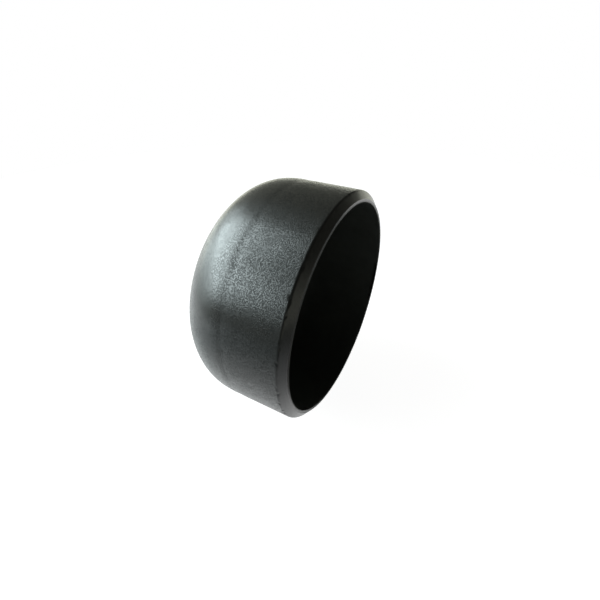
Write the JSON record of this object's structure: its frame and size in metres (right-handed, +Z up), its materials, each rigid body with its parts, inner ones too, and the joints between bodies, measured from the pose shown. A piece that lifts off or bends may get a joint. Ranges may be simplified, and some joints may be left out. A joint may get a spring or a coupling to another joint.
{
  "type": "butt-weld pipe cap",
  "caption": "Domed steel cap with a straight skirt and a bevelled end, butt-welded to a pipe to close it.",
  "frame": {"origin": "centre of the weld-end plane", "axes": "+X out of the open mouth, along the cap's axis and towards the pipe it closes, +Z up when that pipe is level"},
  "size_m": [0.064, 0.108, 0.108],
  "materials": {
    "black_paint": "satin black protective paint with a fine pebbled grain"
  },
  "bodies": {
    "root": {"cap_body": "black_paint"}
  },
  "joints": []
}
